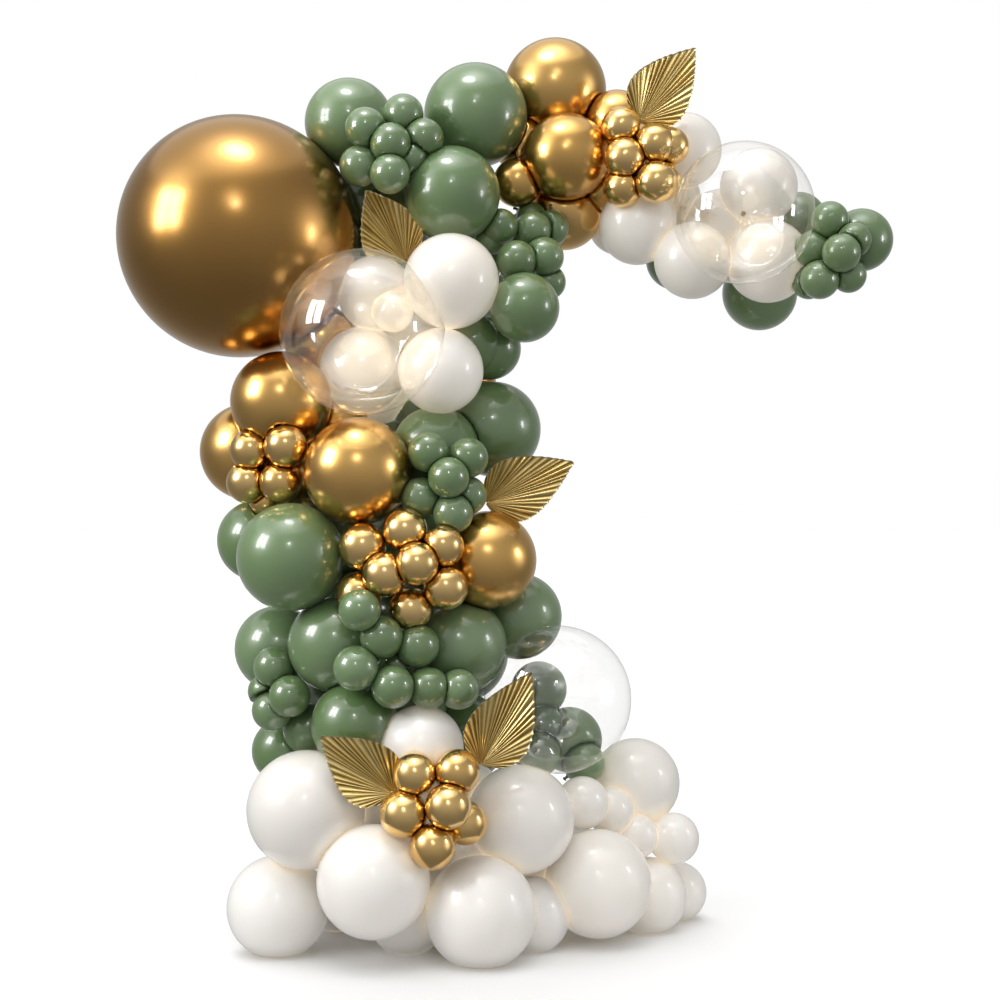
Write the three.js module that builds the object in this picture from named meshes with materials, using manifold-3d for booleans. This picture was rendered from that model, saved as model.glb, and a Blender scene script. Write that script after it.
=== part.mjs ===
// Balloon garland: a standing column of pressed round balloons with a side arm.
// Millimetres, +Z up, the show side faces -Y, the floor is z = 0.
// The column stands on flattened white balloons; nothing holds it from outside.
import * as THREE from 'three';
import { mergeVertices } from 'three/addons/utils/BufferGeometryUtils.js';
import Module from 'manifold-3d';

const wasm = await Module();
wasm.setup();

// ---------------------------------------------------------------- sizes
const GAP = 0.3;                // clear space between two pieces that press together
const FULLNESS = 1.02;          // facet corners stand out this much, so volume stays true
const SMALL_FULLNESS = 1.05;    // and this much on the coarser small balloons
const SMALL = 130;              // balloons under this width belong to the small clusters
const JUMBO = 340;              // and from this width up are the jumbo and clear ones
const LEAF_LENGTH = 250;        // stem end to tip
const LEAF_WIDTH = 168;         // across the broad part
const LEAF_THICK = 3;           // pressed card
const PLEAT = 5;                // height of a pleat at the margin, each way
const PLEATS = 7;               // pleats on each half of a leaf

// Facets round the middle and from pole to pole, for each kind of balloon.
const FACETS = {
  jumbo: [12, 7],
  front: [10, 5],
  floor: [10, 6],
  back: [8, 4],
};

// ---------------------------------------------------------------- finishes
const FINISH = {
  gold: { color: 0xb98a45, roughness: 0.25, metalness: 1.0 },
  sage: { color: 0x5f7f60, roughness: 0.3, metalness: 0.0 },
  white: { color: 0xf1ece6, roughness: 0.35, metalness: 0.0 },
  clear: { color: 0xe4e2dd, roughness: 0.05, metalness: 0.0 },
  leaf: { color: 0xb8923f, roughness: 0.35, metalness: 1.0 },
};

// ---------------------------------------------------------------- balloons
// Each balloon is [x, y, z, width] in mm; balloons of one name touch and are joined.
// The deepest small ones in each cluster, seen only as slivers, belong to the look alone.
const BALLOONS = {
  // top of the column
  gold_jumbo: ['gold', [-700, 40, 1830, 630]],
  gold_top_pair: ['gold', [135, 230, 2260, 280], [300, 175, 2162, 170]],
  gold_upper_group: ['gold', [160, 90, 2050, 230], [31, 100, 1984, 130], [160, 205, 1924, 208],
    [42, 200, 2106, 150], [259, 170, 1985, 130]],
  sage_top_left: ['sage', [-415, 90, 2140, 235]],
  sage_top: ['sage', [-80, 110, 2165, 275]],
  sage_upper: ['sage', [-140, 0, 1935, 250]],
  sage_cluster_top: ['sage', [-360, -60, 2095, 106], [-265, -30, 2136, 106], [-295, -75, 2052, 106],
    [-212, -42, 2072, 104], [-375, -45, 2000, 108], [-295, -95, 1970, 102]],
  // arm reaching to the right
  gold_cluster_arm: ['gold', [303, 35, 2118, 105], [310, 5, 2030, 108], [389, 10, 2068, 108],
    [430, 25, 2065, 100], [306, 25, 1957, 104], [390, -10, 1965, 110]],
  arm_white_top: ['white', [480, 150, 2080, 200]],
  arm_white_group: ['white', [352, 125, 1872, 206], [310, 245, 1895, 165], [495, 85, 1775, 204],
    [585, 205, 1885, 200], [445, 245, 1965, 180]],
  arm_white_pair: ['white', [697, 100, 1775, 222], [675, 115, 1975, 206]],
  arm_sage_behind: ['sage', [465, 215, 1795, 165]],
  arm_sage_under: ['sage', [700, 265, 1710, 205]],
  arm_sage_side: ['sage', [795, 195, 1900, 150]],
  arm_clear: ['clear', [600, -130, 1865, 358]],
  sage_cluster_arm_end: ['sage', [937, 60, 1825, 165], [843, 0, 1868, 98], [862, -55, 1775, 100],
    [815, -10, 1712, 102], [893, 5, 1725, 92], [803, 20, 1795, 98]],
  // middle of the column
  white_upper: ['white', [-140, -70, 1700, 245]],
  white_middle: ['white', [-167, -60, 1472, 220]],
  white_behind_clear: ['white', [-340, 30, 1680, 200], [-290, -40, 1625, 106],
    [-375, 40, 1482, 226], [-345, 140, 1450, 215], [-235, 260, 1560, 270]],
  main_clear: ['clear', [-355, -225, 1555, 410]],
  sage_middle: ['sage', [48, -50, 1635, 180]],
  sage_middle_pair: ['sage', [-82, 40, 1550, 150], [-42, 75, 1540, 165]],
  sage_cluster_middle: ['sage', [-15, 35, 1856, 96], [72, 60, 1851, 100], [120, 85, 1860, 96],
    [28, -10, 1762, 104], [100, 20, 1775, 104], [60, 165, 1850, 140]],
  gold_back: ['gold', [-120, 180, 1450, 190]],
  sage_right_pair: ['sage', [-33, 90, 1328, 252], [-182, -10, 1270, 228]],
  sage_cluster_right: ['sage', [-195, -160, 1260, 102], [-95, -145, 1246, 102],
    [-143, -190, 1196, 103], [-214, -145, 1145, 104], [-97, -130, 1152, 98], [-133, -165, 1106, 102]],
  gold_left_group: ['gold', [-583, -10, 1395, 262], [-690, 150, 1270, 260], [-450, 110, 1360, 170],
    [-530, 70, 1215, 200]],
  gold_behind_clear: ['gold', [-490, 120, 1560, 200]],
  gold_centre: ['gold', [-375, -120, 1213, 275]],
  gold_cluster_left: ['gold', [-560, -100, 1277, 112], [-656, -55, 1268, 108],
    [-665, -45, 1186, 110], [-577, -72, 1186, 110]],
  gold_right: ['gold', [-47, -60, 986, 252]],
  gold_cluster_middle: ['gold', [-252, -190, 1065, 112], [-358, -180, 1024, 120],
    [-157, -200, 1025, 106], [-220, -235, 983, 108], [-300, -220, 956, 112],
    [-150, -195, 922, 112], [-238, -180, 868, 110], [-368, -165, 903, 118]],
  // lower part of the column
  sage_left_pair: ['sage', [-545, -120, 996, 274], [-652, 50, 1034, 212]],
  sage_low_left: ['sage', [-600, 50, 750, 224]],
  sage_low_centre: ['sage', [-435, -90, 772, 242]],
  sage_low_right_pair: ['sage', [-120, -50, 765, 246], [35, 90, 832, 228]],
  sage_low_front: ['sage', [-380, -140, 573, 222]],
  sage_low_small_pair: ['sage', [-510, -30, 549, 132], [-582, 55, 481, 172]],
  sage_cluster_low: ['sage', [-370, -240, 726, 112], [-308, -215, 800, 108], [-220, -190, 777, 108],
    [-280, -230, 679, 108], [-192, -200, 673, 104], [-118, -185, 668, 102], [-360, -250, 870, 104]],
  sage_cluster_low_left: ['sage', [-592, -90, 715, 103], [-546, -135, 645, 106],
    [-597, -80, 603, 104]],
  low_clear: ['clear', [132, -70, 630, 378]],
  sage_behind_clear: ['sage', [90, 170, 630, 150], [172, 165, 494, 176], [94, 130, 535, 122],
    [85, 75, 468, 120], [209, 110, 440, 112]],
  // white base
  base_white_upper: ['white', [-212, -170, 521, 212]],
  gold_cluster_base: ['gold', [-222, -300, 475, 108], [-120, -295, 479, 112], [-248, -310, 380, 118],
    [-140, -335, 402, 113], [-177, -325, 304, 113], [-100, -255, 348, 110]],
  base_white_left_pair: ['white', [-500, -170, 365, 297], [-340, -60, 395, 230]],
  base_white_left_floor: ['white', [-575, -130, 113, 258]],
  base_white_front_left: ['white', [-325, -260, 205, 279]],
  base_white_front: ['white', [-63, -225, 121, 278]],
  base_white_middle_pair: ['white', [36, -110, 330, 276], [-140, 10, 345, 270]],
  base_white_front_right: ['white', [238, -40, 152, 277]],
  base_white_right_group: ['white', [352, 185, 376, 238], [200, 10, 351, 138], [276, 75, 318, 126],
    [345, 85, 249, 118], [448, 115, 238, 136]],
  base_white_right_floor: ['white', [380, 100, 88, 204], [467, 225, 71, 162]],
  base_white_back: ['white', [-250, -115, 85, 198], [-450, 145, 122, 290], [-215, 75, 122, 290],
    [30, 75, 118, 275], [180, 270, 112, 260], [65, -95, 83, 196]],
  // balloons that fill the back
  sage_back_upper: ['sage', [-245, 170, 1990, 240], [-315, 200, 1800, 250], [-90, 215, 1745, 250],
    [-385, 190, 1950, 200]],
  sage_back_lower: ['sage', [-265, 286, 1250, 290], [-445, 240, 1080, 280], [-215, 265, 970, 290],
    [-415, 260, 820, 280], [-130, 255, 720, 275], [-420, 190, 590, 270], [-125, 150, 500, 252],
    [-235, 150, 1385, 150], [-255, 60, 600, 200]],
};

// ---------------------------------------------------------------- leaves
// Each leaf runs from its stem end to its tip; tilt turns it about that line.
const LEAVES = {
  leaf_top: { stem: [348, 25, 2130], tip: [496, 5, 2320], tilt: 6 },
  leaf_upper: { stem: [-258, 0, 1760], tip: [-364, -20, 1945], tilt: -12 },
  leaf_middle: { stem: [-52, -70, 1132], tip: [178, -60, 1238], tilt: 10 },
  leaf_low_left: { stem: [-272, -285, 425], tip: [-453, -300, 566], tilt: -6 },
  leaf_low_right: { stem: [-62, -250, 489], tip: [64, -265, 720], tilt: 8 },
};

const V = (p) => new THREE.Vector3(p[0], p[1], p[2]);

// One flat list of balloons, each knowing its name, centre and corner radius.
const all = [];
for (const [name, [, ...list]] of Object.entries(BALLOONS)) {
  for (const [x, y, z, width] of list) {
    const radius = ((width < SMALL ? SMALL_FULLNESS : FULLNESS) * width) / 2;
    all.push({ name, centre: V([x, y, z]), width, radius, alone: list.length === 1 });
  }
}

// The flat where two balloons press: both stop at the plane through their crossing circle.
function flats(ball) {
  const planes = [];
  for (const other of all) {
    if (other.name === ball.name) continue;
    const way = other.centre.clone().sub(ball.centre);
    const apart = way.length();
    if (apart >= ball.radius + other.radius) continue;
    const reach = (apart * apart + ball.radius ** 2 - other.radius ** 2) / (2 * apart);
    planes.push({ normal: way.normalize(), reach: reach - GAP / 2 });
  }
  planes.push({ normal: new THREE.Vector3(0, 0, -1), reach: ball.centre.z });
  return planes;
}

// Small balloons are tied neck to neck, so each one's pole points at its nearest partner.
function poleOf(ball) {
  const up = new THREE.Vector3(0, 0, 1);
  const partners = all.filter((other) => other !== ball && other.name === ball.name);
  if (ball.width >= SMALL || partners.length === 0) return up;
  const squeeze = (other) => other.centre.distanceTo(ball.centre) / (other.radius + ball.radius);
  partners.sort((a, b) => squeeze(a) - squeeze(b));
  return partners[0].centre.clone().sub(ball.centre).normalize();
}

// A round balloon whose corners are pulled in to its flats.
function balloonGeometry(ball) {
  let facets = ball.alone ? FACETS.front : FACETS.back;
  if (ball.alone && ball.centre.z < ball.radius) facets = FACETS.floor;
  if (ball.width >= JUMBO) facets = FACETS.jumbo;
  const small = ball.width < SMALL;
  const geometry = small
    ? new THREE.OctahedronGeometry(ball.radius, 1)
    : new THREE.SphereGeometry(ball.radius, ...facets);
  geometry.rotateX(Math.PI / 2);
  const turn = new THREE.Quaternion();
  geometry.applyQuaternion(turn.setFromUnitVectors(new THREE.Vector3(0, 0, 1), poleOf(ball)));
  const planes = flats(ball);
  const place = geometry.attributes.position;
  for (let i = 0; i < place.count; i += 1) {
    const corner = new THREE.Vector3().fromBufferAttribute(place, i);
    const ray = corner.clone().normalize();
    let length = ball.radius;
    for (const plane of planes) {
      const toward = ray.dot(plane.normal);
      if (toward > 0) length = Math.min(length, plane.reach / toward);
    }
    corner.copy(ray).multiplyScalar(length).add(ball.centre);
    place.setXYZ(i, corner.x, corner.y, corner.z);
  }
  return geometry;
}

// ---------------------------------------------------------------- joining and cutting
function toSolid(geometry) {
  const bare = geometry.clone();
  bare.deleteAttribute('normal');
  bare.deleteAttribute('uv');
  const merged = mergeVertices(bare, 1e-3);
  return new wasm.Manifold(new wasm.Mesh({
    numProp: 3,
    vertProperties: new Float32Array(merged.attributes.position.array),
    triVerts: new Uint32Array(merged.index.array),
  }));
}

function fromSolid(solid) {
  const mesh = solid.getMesh();
  const geometry = new THREE.BufferGeometry();
  geometry.setAttribute('position', new THREE.BufferAttribute(new Float32Array(mesh.vertProperties), 3));
  geometry.setIndex(new THREE.BufferAttribute(new Uint32Array(mesh.triVerts), 1));
  return geometry;
}

function joined(geometries, name) {
  let solid = toSolid(geometries[0]);
  for (const geometry of geometries.slice(1)) solid = solid.add(toSolid(geometry));
  if (solid.decompose().length > 1) throw new Error(`${name}: balloons that don't touch`);
  return fromSolid(solid);
}

// ---------------------------------------------------------------- a pleated leaf
// Half the width at a share of the length: broad and round at the stem, pointed at the tip.
const halfWidth = (share) => (LEAF_WIDTH / 2) * Math.sin(Math.PI * share ** 0.62) ** 0.9;

// Margin points run from one side of the stem end, round the tip, to the other side.
function leafMargin() {
  const points = [];
  const count = 2 * PLEATS;
  for (let i = -count; i <= count; i += 1) {
    const share = 1 - Math.abs(i) / count;
    const along = share ** 0.85;
    const side = Math.sign(i) * (share < 1 ? halfWidth(Math.max(along, 0.035)) : 0);
    const ridge = i % 2 === 0 ? PLEAT : -PLEAT;
    points.push([side, (along - 0.04) * LEAF_LENGTH, i === 0 ? 0 : ridge]);
  }
  return points;
}

function leafGeometry({ stem, tip, tilt }) {
  const margin = leafMargin();
  const n = margin.length;
  const corners = [];
  for (const side of [1, -1]) {
    corners.push([0, 0, (side * LEAF_THICK) / 2]);
    for (const [across, along, ridge] of margin) {
      corners.push([across, along, ridge + (side * LEAF_THICK) / 2]);
    }
  }
  const front = (i) => 1 + i;
  const back = (i) => n + 2 + i;
  const faces = [];
  for (let i = 0; i < n - 1; i += 1) {
    faces.push(0, front(i + 1), front(i));
    faces.push(n + 1, back(i), back(i + 1));
    faces.push(front(i), front(i + 1), back(i + 1));
    faces.push(front(i), back(i + 1), back(i));
  }
  faces.push(0, front(0), back(0));
  faces.push(0, back(0), n + 1);
  faces.push(0, back(n - 1), front(n - 1));
  faces.push(0, n + 1, back(n - 1));
  const geometry = new THREE.BufferGeometry();
  geometry.setAttribute('position', new THREE.BufferAttribute(new Float32Array(corners.flat()), 3));
  geometry.setIndex(faces);
  const along = V(tip).sub(V(stem)).normalize();
  const outward = new THREE.Vector3(0, -1, 0);
  outward.addScaledVector(along, -outward.dot(along)).normalize();
  outward.applyAxisAngle(along, THREE.MathUtils.degToRad(tilt));
  const across = along.clone().cross(outward);
  geometry.applyMatrix4(new THREE.Matrix4().makeBasis(across, along, outward));
  geometry.translate(stem[0], stem[1], stem[2]);
  return geometry;
}

// The part of a leaf left clear by the balloons that hold it.
function tuckedLeaf(spec, balloonSolids) {
  let leaf = toSolid(leafGeometry(spec));
  if (leaf.volume() < 0) throw new Error('leaf faces inward');
  const reach = V(spec.stem).distanceTo(V(spec.tip));
  for (const { centre, radius, solid } of balloonSolids) {
    if (centre.distanceTo(V(spec.stem)) > reach + radius) continue;
    leaf = leaf.subtract(solid);
  }
  const bits = leaf.decompose().sort((a, b) => b.volume() - a.volume());
  return fromSolid(bits[0]);
}

// The same balloon a little larger, used to cut a leaf clear of it.
function cutterFor(ball) {
  const geometry = balloonGeometry(ball);
  const grow = 1 + (2 * GAP) / ball.radius;
  geometry.translate(-ball.centre.x, -ball.centre.y, -ball.centre.z);
  geometry.scale(grow, grow, grow);
  geometry.translate(ball.centre.x, ball.centre.y, ball.centre.z);
  return { centre: ball.centre, radius: ball.radius, solid: toSolid(geometry) };
}

// ---------------------------------------------------------------- the whole garland
function piece(name, finish, geometry) {
  const look = FINISH[finish];
  const mesh = new THREE.Mesh(geometry, new THREE.MeshStandardMaterial({ ...look, flatShading: true }));
  mesh.name = name;
  mesh.material.name = finish;
  return mesh;
}

const garland = new THREE.Group();
garland.name = 'balloon_garland';

for (const [name, [finish]] of Object.entries(BALLOONS)) {
  const parts = all.filter((ball) => ball.name === name).map(balloonGeometry);
  const single = () => fromSolid(toSolid(parts[0]));
  garland.add(piece(name, finish, parts.length > 1 ? joined(parts, name) : single()));
}

const cutters = all.map(cutterFor);
for (const [name, spec] of Object.entries(LEAVES)) {
  garland.add(piece(name, 'leaf', tuckedLeaf(spec, cutters)));
}

// Stand the garland over the middle of its own plan, on the floor.
const box = new THREE.Box3().setFromObject(garland);
const middle = box.getCenter(new THREE.Vector3());
for (const mesh of garland.children) mesh.geometry.translate(-middle.x, -middle.y, -box.min.z);

export default garland;
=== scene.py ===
"""A balloon garland: gold, sage, white and clear balloons with gold paper leaves.

The garland stands on the floor on a bank of white balloons, climbs as a leaning column and
turns over at the top into a short arm. Each balloon is one closed surface on a grid, pressed
flat against its neighbours and drawn out to a tied neck on its hidden side.
"""
import logging
import math
from dataclasses import dataclass, field, replace
from enum import Enum
from functools import partial

import bpy
import numpy as np
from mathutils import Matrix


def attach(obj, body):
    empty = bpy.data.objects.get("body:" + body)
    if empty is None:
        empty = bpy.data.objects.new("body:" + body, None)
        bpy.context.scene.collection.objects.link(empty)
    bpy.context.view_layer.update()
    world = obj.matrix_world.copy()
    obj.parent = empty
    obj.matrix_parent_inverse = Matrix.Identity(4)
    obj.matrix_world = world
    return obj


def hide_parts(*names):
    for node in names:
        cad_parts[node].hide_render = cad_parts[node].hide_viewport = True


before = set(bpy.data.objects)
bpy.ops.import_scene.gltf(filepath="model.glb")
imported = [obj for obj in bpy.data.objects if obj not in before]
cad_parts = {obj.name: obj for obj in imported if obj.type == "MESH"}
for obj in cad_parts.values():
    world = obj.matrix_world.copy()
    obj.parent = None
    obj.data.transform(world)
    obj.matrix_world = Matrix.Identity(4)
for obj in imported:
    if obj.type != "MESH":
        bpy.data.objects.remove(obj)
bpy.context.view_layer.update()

LOG = logging.getLogger("garland")
MM = 0.001
# Millimetres between touching skins, and the widths that part small, large and jumbo balloons.
FACING_GAP = 0.3
SMALL_BELOW = 132
JUMBO_ABOVE = 340
# Metres that a skin's bump stands for.
SKIN_REACH = 0.01
# Metres, beyond any skin: the reach of a way that meets nothing.
FAR = 99.0
# How many ways are tried for a neck, and the points round a knot.
NECK_WAYS = 260
KNOT_AROUND = 16
BODY = "root"
Colour = tuple[float, float, float]
# A balloon's place x, y, z and its width, in millimetres.
Row = tuple[float, float, float, float]


class Grade(Enum):
    """How finely a balloon is meshed: rings from crown to neck, points round each ring."""

    SMALL = (26, 40)
    ROUND = (46, 72)
    CLEAR = (84, 128)
    JUMBO = (88, 132)


class Finish(Enum):
    """The material slots of the record that the garland's pieces take their finish from."""

    GOLD = "gold"
    SAGE = "sage"
    WHITE = "white"
    CLEAR = "clear"
    LEAF = "leaf"


# ---------------------------------------------------------------- shader helpers


def add_node(tree: bpy.types.NodeTree, kind: str, **values: object) -> bpy.types.Node:
    """Adds a shader node and sets its properties.

    Args:
        tree: The node tree to add to.
        kind: The node's type name.
        **values: Property names and what each is set to.

    Returns:
        The new node.
    """
    made = tree.nodes.new(kind)
    for name, value in values.items():
        setattr(made, name, value)
    return made


def set_inputs(node: bpy.types.Node, values: dict[str | int, object]) -> None:
    """Sets a node's sockets by name or number.

    Args:
        node: The node.
        values: Sockets with a plain value, or an output socket to link.
    """
    for name, value in values.items():
        if isinstance(value, bpy.types.NodeSocket):
            node.id_data.links.new(value, node.inputs[name])
        elif isinstance(value, tuple) and len(value) == 3 and node.inputs[name].type == "RGBA":
            node.inputs[name].default_value = (*value, 1.0)
        else:
            node.inputs[name].default_value = value


def mix_colours(
    tree: bpy.types.NodeTree, share: object, first: object, second: object
) -> bpy.types.NodeSocket:
    """Mixes two colours: first × (1 − share) + second × share.

    Args:
        tree: The node tree.
        share: A number or socket, the share of the second colour.
        first: A colour or socket.
        second: A colour or socket.

    Returns:
        The mixed colour's socket.
    """
    node = add_node(tree, "ShaderNodeMix", data_type="RGBA")
    set_inputs(node, {0: share, 6: first, 7: second})
    return node.outputs[2]


def sums(
    tree: bpy.types.NodeTree, operation: str, *values: object, clamp: bool = False
) -> bpy.types.NodeSocket:
    """One step of arithmetic on numbers.

    Args:
        tree: The node tree.
        operation: The Math node's operation.
        *values: Numbers or sockets, in the order of the node's inputs.
        clamp: Whether the result is kept between 0 and 1.

    Returns:
        The result's socket.
    """
    node = add_node(tree, "ShaderNodeMath", operation=operation, use_clamp=clamp)
    set_inputs(node, dict(enumerate(values)))
    return node.outputs[0]


def new_group(name: str, inputs: dict[str, object], outputs: dict[str, str]) -> bpy.types.NodeTree:
    """Starts a shader node group with named sockets.

    Args:
        name: The group's name.
        inputs: Each input's name with its default, a number or a colour.
        outputs: Each output's name with its socket type.

    Returns:
        The group's tree, holding its Group Input and Group Output nodes.
    """
    tree = bpy.data.node_groups.new(name, "ShaderNodeTree")
    for label, value in inputs.items():
        kind = "NodeSocketColor" if isinstance(value, tuple) else "NodeSocketFloat"
        socket = tree.interface.new_socket(label, in_out="INPUT", socket_type=kind)
        socket.default_value = (*value, 1.0) if isinstance(value, tuple) else value
    for label, kind in outputs.items():
        tree.interface.new_socket(label, in_out="OUTPUT", socket_type=kind)
    tree.nodes.new("NodeGroupInput")
    tree.nodes.new("NodeGroupOutput")
    return tree


def ends_of(tree: bpy.types.NodeTree) -> tuple[bpy.types.Node, bpy.types.Node]:
    """Returns a group's Group Input and Group Output nodes."""
    kinds = {node.bl_idname: node for node in tree.nodes}
    return kinds["NodeGroupInput"], kinds["NodeGroupOutput"]


def stretched_tone() -> bpy.types.NodeTree:
    """The colour of stretched latex, shared by the gold, sage and white balloons.

    The body colour leans to the pale one by the balloon's own tone and clouds softly over the
    skin. In the creases where two balloons press it turns to a shade colour, which is painted
    shade, and it also deepens towards the tied neck.

    White latex also gets a painted glow, an emission that stands in for light through the skin:
    its glow = glow × (2 × the mask of the creases + lift), where lift is set per group.

    Returns:
        The group's tree, which puts out the colour and the glow.
    """
    tree = new_group(
        "stretched_tone",
        {
            "Body": (0.5, 0.5, 0.5),
            "Pale": (0.6, 0.6, 0.6),
            "Painted shade and neck": (0.3, 0.3, 0.3),
            "Cloud": 0.2,
            "Painted crease shade": 0.6,
            "Glow": (0.0, 0.0, 0.0),
        },
        {"Color": "NodeSocketColor", "Glow": "NodeSocketColor"},
    )
    start, end = ends_of(tree)
    place = add_node(tree, "ShaderNodeTexCoord")
    tone = add_node(tree, "ShaderNodeAttribute", attribute_name="tone")
    painted_crease_mask = add_node(tree, "ShaderNodeAttribute", attribute_name="painted_crease_mask")
    neck = add_node(tree, "ShaderNodeAttribute", attribute_name="neck")
    cloud = add_node(tree, "ShaderNodeTexNoise")
    set_inputs(cloud, {"Vector": place.outputs["Object"], "Scale": 7.0, "Detail": 2.0})
    drift = sums(tree, "SUBTRACT", cloud.outputs[0], 0.5)
    drift = sums(tree, "MULTIPLY", drift, start.outputs["Cloud"])
    lean = sums(tree, "ADD", tone.outputs["Fac"], drift, clamp=True)
    body = mix_colours(tree, lean, start.outputs["Body"], start.outputs["Pale"])
    # Painted shade: in the creases where balloons press, the colour turns to the shade colour.
    pressed = sums(tree, "MULTIPLY", painted_crease_mask.outputs["Fac"], start.outputs["Painted crease shade"])
    drawn = sums(tree, "MULTIPLY", neck.outputs["Fac"], 0.7)
    # The shade share is the larger of the painted shade in the creases and the deepening towards
    # the neck.
    depth = sums(tree, "MAXIMUM", pressed, drawn, clamp=True)
    shade = mix_colours(tree, depth, body, start.outputs["Painted shade and neck"])
    # Painted light: the glow is strongest in the creases and raised by the group's lift.
    lift = add_node(tree, "ShaderNodeAttribute", attribute_name="lift")
    glow = add_node(tree, "ShaderNodeVectorMath", operation="SCALE")
    through = sums(tree, "MULTIPLY_ADD", painted_crease_mask.outputs["Fac"], 2.0, lift.outputs["Fac"])
    set_inputs(glow, {0: start.outputs["Glow"], "Scale": through})
    set_inputs(end, {"Color": shade, "Glow": glow.outputs[0]})
    return tree


def latex_skin() -> bpy.types.NodeTree:
    """The skin of a blown balloon: a broad soft unevenness under a very fine powdery one.

    Returns:
        The group's tree, which puts out a height and a roughness.
    """
    tree = new_group(
        "latex_skin",
        {"Roughness": 0.25, "Unevenness": 0.05, "Fine scale": 900.0, "Broad scale": 9.0},
        {"Height": "NodeSocketFloat", "Roughness": "NodeSocketFloat"},
    )
    start, end = ends_of(tree)
    place = add_node(tree, "ShaderNodeTexCoord")
    broad = add_node(tree, "ShaderNodeTexNoise")
    fine = add_node(tree, "ShaderNodeTexNoise")
    for noise, scale, detail in ((broad, "Broad scale", 1.0), (fine, "Fine scale", 2.0)):
        values = {"Scale": start.outputs[scale], "Detail": detail}
        set_inputs(noise, {"Vector": place.outputs["Object"], **values})
    height = sums(tree, "MULTIPLY_ADD", fine.outputs[0], 0.04, broad.outputs[0])
    spread = sums(tree, "SUBTRACT", broad.outputs[0], 0.5)
    spread = sums(tree, "MULTIPLY", spread, start.outputs["Unevenness"])
    rough = sums(tree, "ADD", start.outputs["Roughness"], spread, clamp=True)
    set_inputs(end, {"Height": height, "Roughness": rough})
    return tree


def pleated_sheen() -> bpy.types.NodeTree:
    """The colour of pleated foil paper: bright ridges, brown valleys of painted shade and fine
    streaks.

    Returns:
        The group's tree, which puts out a colour and a roughness.
    """
    inputs = {"Ridge": (0.8, 0.6, 0.3), "Painted valley shade": (0.3, 0.2, 0.1), "Edge": (0.9, 0.7, 0.4)}
    tree = new_group(
        "pleated_sheen",
        {**inputs, "Streak": 0.8},
        {"Color": "NodeSocketColor", "Roughness": "NodeSocketFloat"},
    )
    start, end = ends_of(tree)
    pleat = add_node(tree, "ShaderNodeAttribute", attribute_name="pleat")
    rim = add_node(tree, "ShaderNodeAttribute", attribute_name="rim")
    lie = add_node(tree, "ShaderNodeAttribute", attribute_name="lie")
    streak = add_node(tree, "ShaderNodeTexNoise")
    fineness = {"Scale": 1.0, "Detail": 4.0, "Roughness": 0.6}
    set_inputs(streak, {"Vector": lie.outputs["Vector"], **fineness})
    stir = sums(tree, "SUBTRACT", streak.outputs[0], 0.5)
    stir = sums(tree, "MULTIPLY", stir, start.outputs["Streak"])
    lean = sums(tree, "ADD", pleat.outputs["Fac"], stir, clamp=True)
    # Painted shade: the pleats' valleys turn dark brown, their ridges keep the foil's gold.
    painted_pleat_shade = mix_colours(tree, lean, start.outputs["Painted valley shade"], start.outputs["Ridge"])
    sheen = mix_colours(tree, rim.outputs["Fac"], painted_pleat_shade, start.outputs["Edge"])
    rough = sums(tree, "MULTIPLY_ADD", streak.outputs[0], 0.25, 0.2)
    set_inputs(end, {"Color": sheen, "Roughness": rough})
    return tree


def add_skin(
    tree: bpy.types.NodeTree,
    shared: "SharedShading",
    strength: float,
    reach: float,
    **scales: float,
) -> tuple[bpy.types.Node, bpy.types.NodeSocket]:
    """Adds the skin group to a material, with a bump from its height.

    Args:
        tree: The material's tree.
        shared: The shared node groups.
        strength: The bump's strength.
        reach: The bump's distance, in metres.
        **scales: Values for the group's sockets, with underscores for spaces.

    Returns:
        The group's node and the bumped normal.
    """
    skin = add_node(tree, "ShaderNodeGroup", node_tree=shared.skin)
    set_inputs(skin, {name.replace("_", " "): value for name, value in scales.items()})
    bump = add_node(tree, "ShaderNodeBump")
    set_inputs(bump, {"Height": skin.outputs["Height"], "Strength": strength, "Distance": reach})
    return skin, bump.outputs["Normal"]


@dataclass(frozen=True)
class SharedShading:
    """The node groups that the finishes place in their materials."""

    tone: bpy.types.NodeTree
    skin: bpy.types.NodeTree
    foil: bpy.types.NodeTree

    @classmethod
    def build(cls) -> "SharedShading":
        """Builds each group once."""
        return cls(stretched_tone(), latex_skin(), pleated_sheen())


def blank_material(name: str) -> tuple[bpy.types.Material, bpy.types.NodeTree, bpy.types.Node]:
    """Starts a material with a lone Principled shader.

    Args:
        name: The material's name.

    Returns:
        The material, its tree and its Principled node.
    """
    material = bpy.data.materials.new(name)
    material.use_nodes = True
    tree = material.node_tree
    tree.nodes.clear()
    shader = tree.nodes.new("ShaderNodeBsdfPrincipled")
    out = tree.nodes.new("ShaderNodeOutputMaterial")
    tree.links.new(shader.outputs["BSDF"], out.inputs["Surface"])
    return material, tree, shader


# ---------------------------------------------------------------- finishes


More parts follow.
